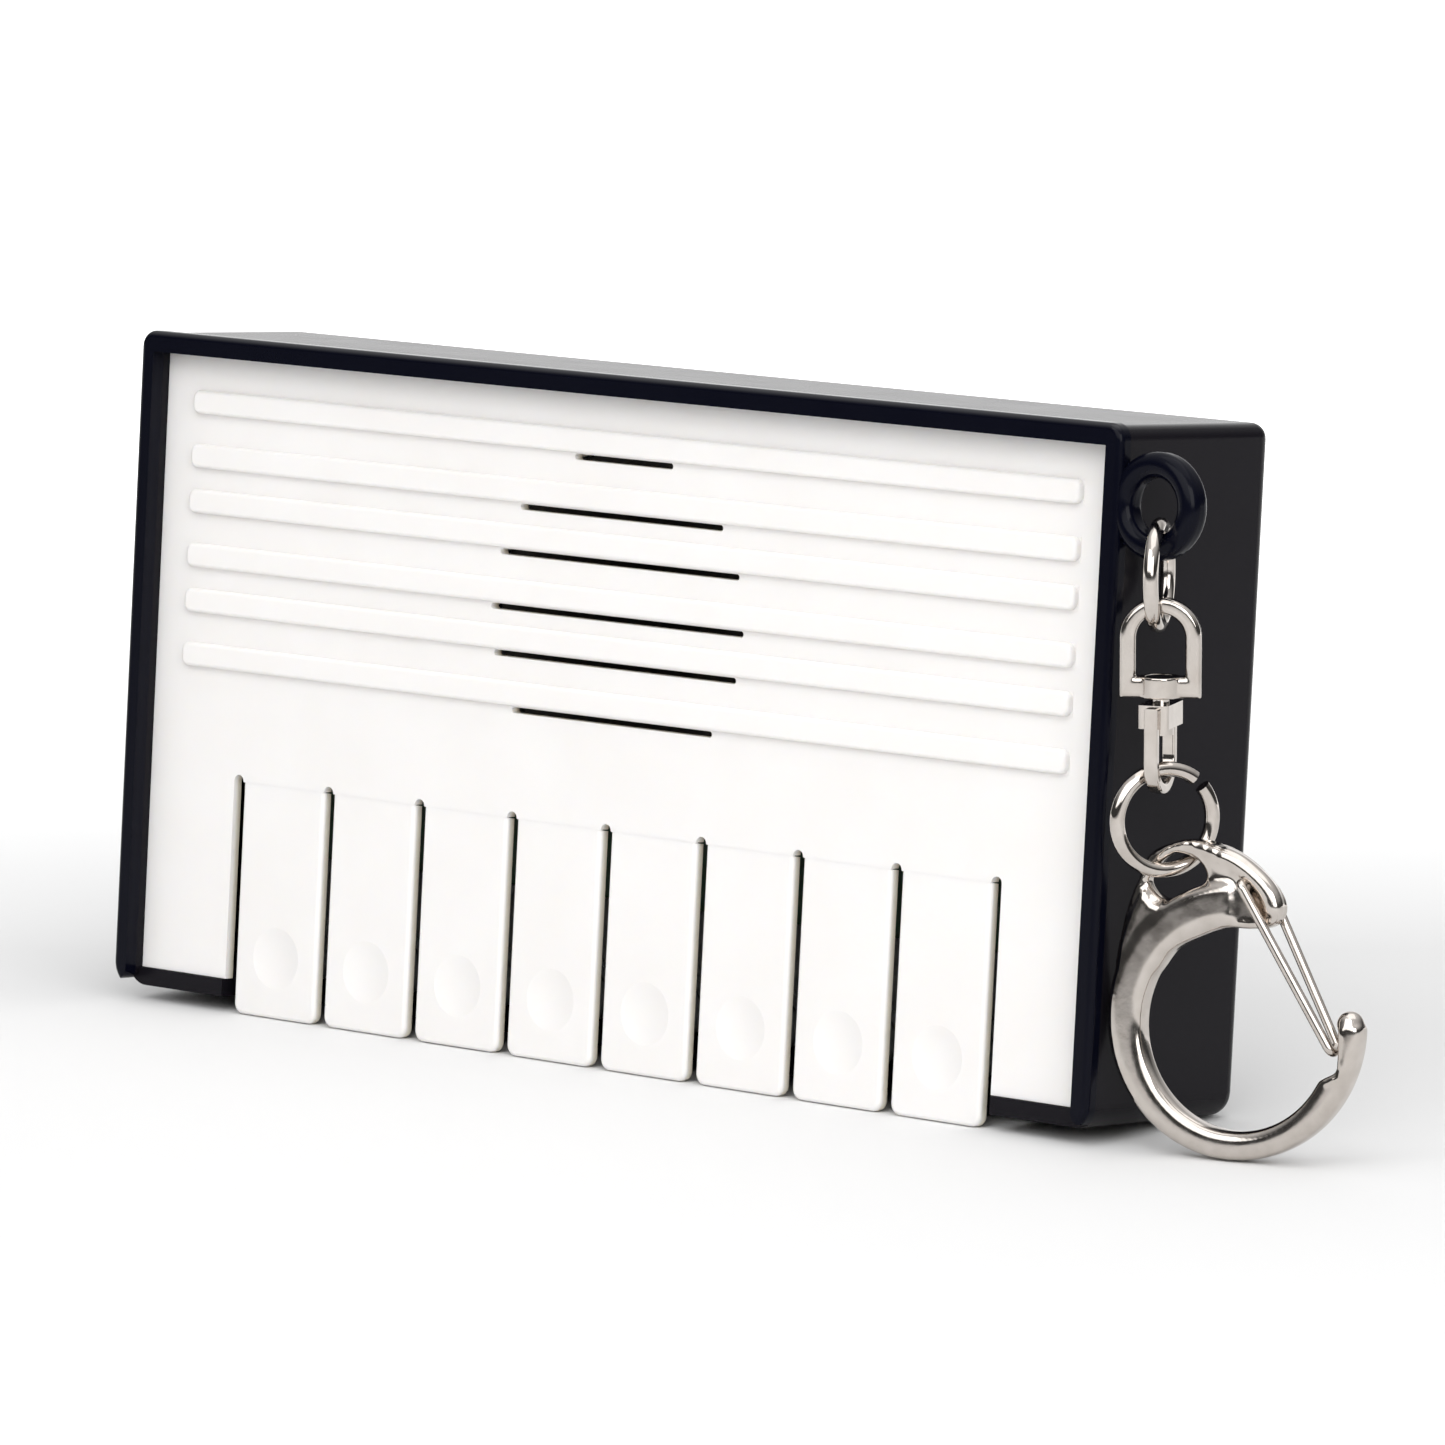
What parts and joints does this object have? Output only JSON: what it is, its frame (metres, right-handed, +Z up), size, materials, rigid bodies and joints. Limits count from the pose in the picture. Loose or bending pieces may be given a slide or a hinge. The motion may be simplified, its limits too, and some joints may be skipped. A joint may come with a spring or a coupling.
{
  "type": "keychain mini piano",
  "caption": "Small electronic keychain piano in a two-shell case, with push keys, a slotted speaker panel and a jump-ring chain with a swivel and snap hook.",
  "frame": {"origin": "centre of the case's flat back face", "axes": "+X to the player's right, +Y out of the back face, +Z up with the piano standing on its key ends"},
  "size_m": [0.1383, 0.0241, 0.0616],
  "materials": {
    "case_plastic": "satin, with a glossy front bead",
    "ivory_plastic": "fine satin",
    "contact_rubber": "matt",
    "board_green": "solder mask",
    "epoxy_black": "glossy drop",
    "component_ceramic": "matt",
    "speaker_steel": "zinc plated",
    "paper_cone": "pressed paper",
    "cell_steel": "polished",
    "contact_nickel": "nickel plated",
    "screw_steel": "zinc plated",
    "nickel_plate": "bright warm nickel, slightly uneven"
  },
  "bodies": {
    "case": {"front_case": "case_plastic", "back_case": "case_plastic", "front_panel": "ivory_plastic", "case_screws": "screw_steel", "key_mat": "contact_rubber", "circuit_board": "board_green", "sound_chip": "epoxy_black", "board_components": "component_ceramic", "speaker_frame": "speaker_steel", "speaker_cone": "paper_cone", "speaker_magnet": "speaker_steel", "button_cell_1": "cell_steel", "button_cell_2": "cell_steel", "button_cell_3": "cell_steel", "battery_contact_left": "contact_nickel", "battery_contact_right": "contact_nickel"},
    "battery_door": {"battery_door": "case_plastic", "door_screw": "screw_steel"},
    "key_1": {"key_1": "ivory_plastic"},
    "key_2": {"key_2": "ivory_plastic"},
    "key_3": {"key_3": "ivory_plastic"},
    "key_4": {"key_4": "ivory_plastic"},
    "key_5": {"key_5": "ivory_plastic"},
    "key_6": {"key_6": "ivory_plastic"},
    "key_7": {"key_7": "ivory_plastic"},
    "key_8": {"key_8": "ivory_plastic"},
    "dome_1": {"dome_1": "contact_rubber"},
    "dome_2": {"dome_2": "contact_rubber"},
    "dome_3": {"dome_3": "contact_rubber"},
    "dome_4": {"dome_4": "contact_rubber"},
    "dome_5": {"dome_5": "contact_rubber"},
    "dome_6": {"dome_6": "contact_rubber"},
    "dome_7": {"dome_7": "contact_rubber"},
    "dome_8": {"dome_8": "contact_rubber"},
    "upper_ring": {"upper_ring": "nickel_plate"},
    "swivel_head": {"swivel_head": "nickel_plate"},
    "swivel_link": {"swivel_link": "nickel_plate", "swivel_pin": "nickel_plate"},
    "lower_ring": {"lower_ring": "nickel_plate"},
    "hook": {"hook_body": "nickel_plate"},
    "gate": {"gate_wire": "nickel_plate"}
  },
  "joints": [
    {"name": "key_1_press", "type": "hinge", "parent": "case", "child": "key_1", "pos_m": [-0.03909, -0.0186, -0.01018], "axis": [1, 0, 0], "range_deg": [0, 4], "stiffness_Nm_per_rad": 0.004, "springref_deg": -1.15},
    {"name": "key_2_press", "type": "hinge", "parent": "case", "child": "key_2", "pos_m": [-0.02792, -0.0186, -0.01018], "axis": [1, 0, 0], "range_deg": [0, 4], "stiffness_Nm_per_rad": 0.004, "springref_deg": -1.15},
    {"name": "key_3_press", "type": "hinge", "parent": "case", "child": "key_3", "pos_m": [-0.01675, -0.0186, -0.01018], "axis": [1, 0, 0], "range_deg": [0, 4], "stiffness_Nm_per_rad": 0.004, "springref_deg": -1.15},
    {"name": "key_4_press", "type": "hinge", "parent": "case", "child": "key_4", "pos_m": [-0.00558, -0.0186, -0.01018], "axis": [1, 0, 0], "range_deg": [0, 4], "stiffness_Nm_per_rad": 0.004, "springref_deg": -1.15},
    {"name": "key_5_press", "type": "hinge", "parent": "case", "child": "key_5", "pos_m": [0.00558, -0.0186, -0.01018], "axis": [1, 0, 0], "range_deg": [0, 4], "stiffness_Nm_per_rad": 0.004, "springref_deg": -1.15},
    {"name": "key_6_press", "type": "hinge", "parent": "case", "child": "key_6", "pos_m": [0.01675, -0.0186, -0.01018], "axis": [1, 0, 0], "range_deg": [0, 4], "stiffness_Nm_per_rad": 0.004, "springref_deg": -1.15},
    {"name": "key_7_press", "type": "hinge", "parent": "case", "child": "key_7", "pos_m": [0.02792, -0.0186, -0.01018], "axis": [1, 0, 0], "range_deg": [0, 4], "stiffness_Nm_per_rad": 0.004, "springref_deg": -1.15},
    {"name": "key_8_press", "type": "hinge", "parent": "case", "child": "key_8", "pos_m": [0.03909, -0.0186, -0.01018], "axis": [1, 0, 0], "range_deg": [0, 4], "stiffness_Nm_per_rad": 0.004, "springref_deg": -1.15},
    {"name": "dome_1_travel", "type": "slide", "parent": "case", "child": "dome_1", "axis": [0, 1, 0], "range_m": [0, 0.0012]},
    {"name": "dome_2_travel", "type": "slide", "parent": "case", "child": "dome_2", "axis": [0, 1, 0], "range_m": [0, 0.0012]},
    {"name": "dome_3_travel", "type": "slide", "parent": "case", "child": "dome_3", "axis": [0, 1, 0], "range_m": [0, 0.0012]},
    {"name": "dome_4_travel", "type": "slide", "parent": "case", "child": "dome_4", "axis": [0, 1, 0], "range_m": [0, 0.0012]},
    {"name": "dome_5_travel", "type": "slide", "parent": "case", "child": "dome_5", "axis": [0, 1, 0], "range_m": [0, 0.0012]},
    {"name": "dome_6_travel", "type": "slide", "parent": "case", "child": "dome_6", "axis": [0, 1, 0], "range_m": [0, 0.0012]},
    {"name": "dome_7_travel", "type": "slide", "parent": "case", "child": "dome_7", "axis": [0, 1, 0], "range_m": [0, 0.0012]},
    {"name": "dome_8_travel", "type": "slide", "parent": "case", "child": "dome_8", "axis": [0, 1, 0], "range_m": [0, 0.0012]},
    {"name": "door_lift", "type": "slide", "parent": "case", "child": "battery_door", "axis": [0, 1, 0], "range_m": [0, 0.008]},
    {"name": "ring_swing", "type": "hinge", "parent": "case", "child": "upper_ring", "pos_m": [0.06072, -0.0196, 0.01995], "axis": [1, 0, 0], "range_deg": [-35, 35]},
    {"name": "head_swing", "type": "hinge", "parent": "upper_ring", "child": "swivel_head", "pos_m": [0.06122, -0.0194, 0.01351], "axis": [0.4787, -0.8754, -0.0674], "range_deg": [0, 40]},
    {"name": "swivel_turn", "type": "hinge", "parent": "swivel_head", "child": "swivel_link", "pos_m": [0.06192, -0.0195, 0.00701], "axis": [0, -0.0767, 0.9971], "range_deg": [-70, 70]},
    {"name": "lower_ring_swing", "type": "hinge", "parent": "swivel_link", "child": "lower_ring", "pos_m": [0.06192, -0.01894, -0.00027], "axis": [0.3584, -0.9308, -0.0716], "range_deg": [0, 15]},
    {"name": "hook_swing", "type": "hinge", "parent": "lower_ring", "child": "hook", "pos_m": [0.06207, -0.01795, -0.00728], "axis": [-0.4848, -0.872, -0.0671], "range_deg": [0, 15]},
    {"name": "gate_press", "type": "hinge", "parent": "hook", "child": "gate", "pos_m": [0.06926, -0.01584, -0.00766], "axis": [0.2241, -0.9745, 0.0124], "range_deg": [-30, 0], "stiffness_Nm_per_rad": 0.001, "springref_deg": 5.73}
  ],
  "couplings": [
    {"joint": "dome_1_travel", "follows": "key_1_press", "m_per_rad": 0.01567},
    {"joint": "dome_2_travel", "follows": "key_2_press", "m_per_rad": 0.01567},
    {"joint": "dome_3_travel", "follows": "key_3_press", "m_per_rad": 0.01567},
    {"joint": "dome_4_travel", "follows": "key_4_press", "m_per_rad": 0.01567},
    {"joint": "dome_5_travel", "follows": "key_5_press", "m_per_rad": 0.01567},
    {"joint": "dome_6_travel", "follows": "key_6_press", "m_per_rad": 0.01567},
    {"joint": "dome_7_travel", "follows": "key_7_press", "m_per_rad": 0.01567},
    {"joint": "dome_8_travel", "follows": "key_8_press", "m_per_rad": 0.01567}
  ]
}
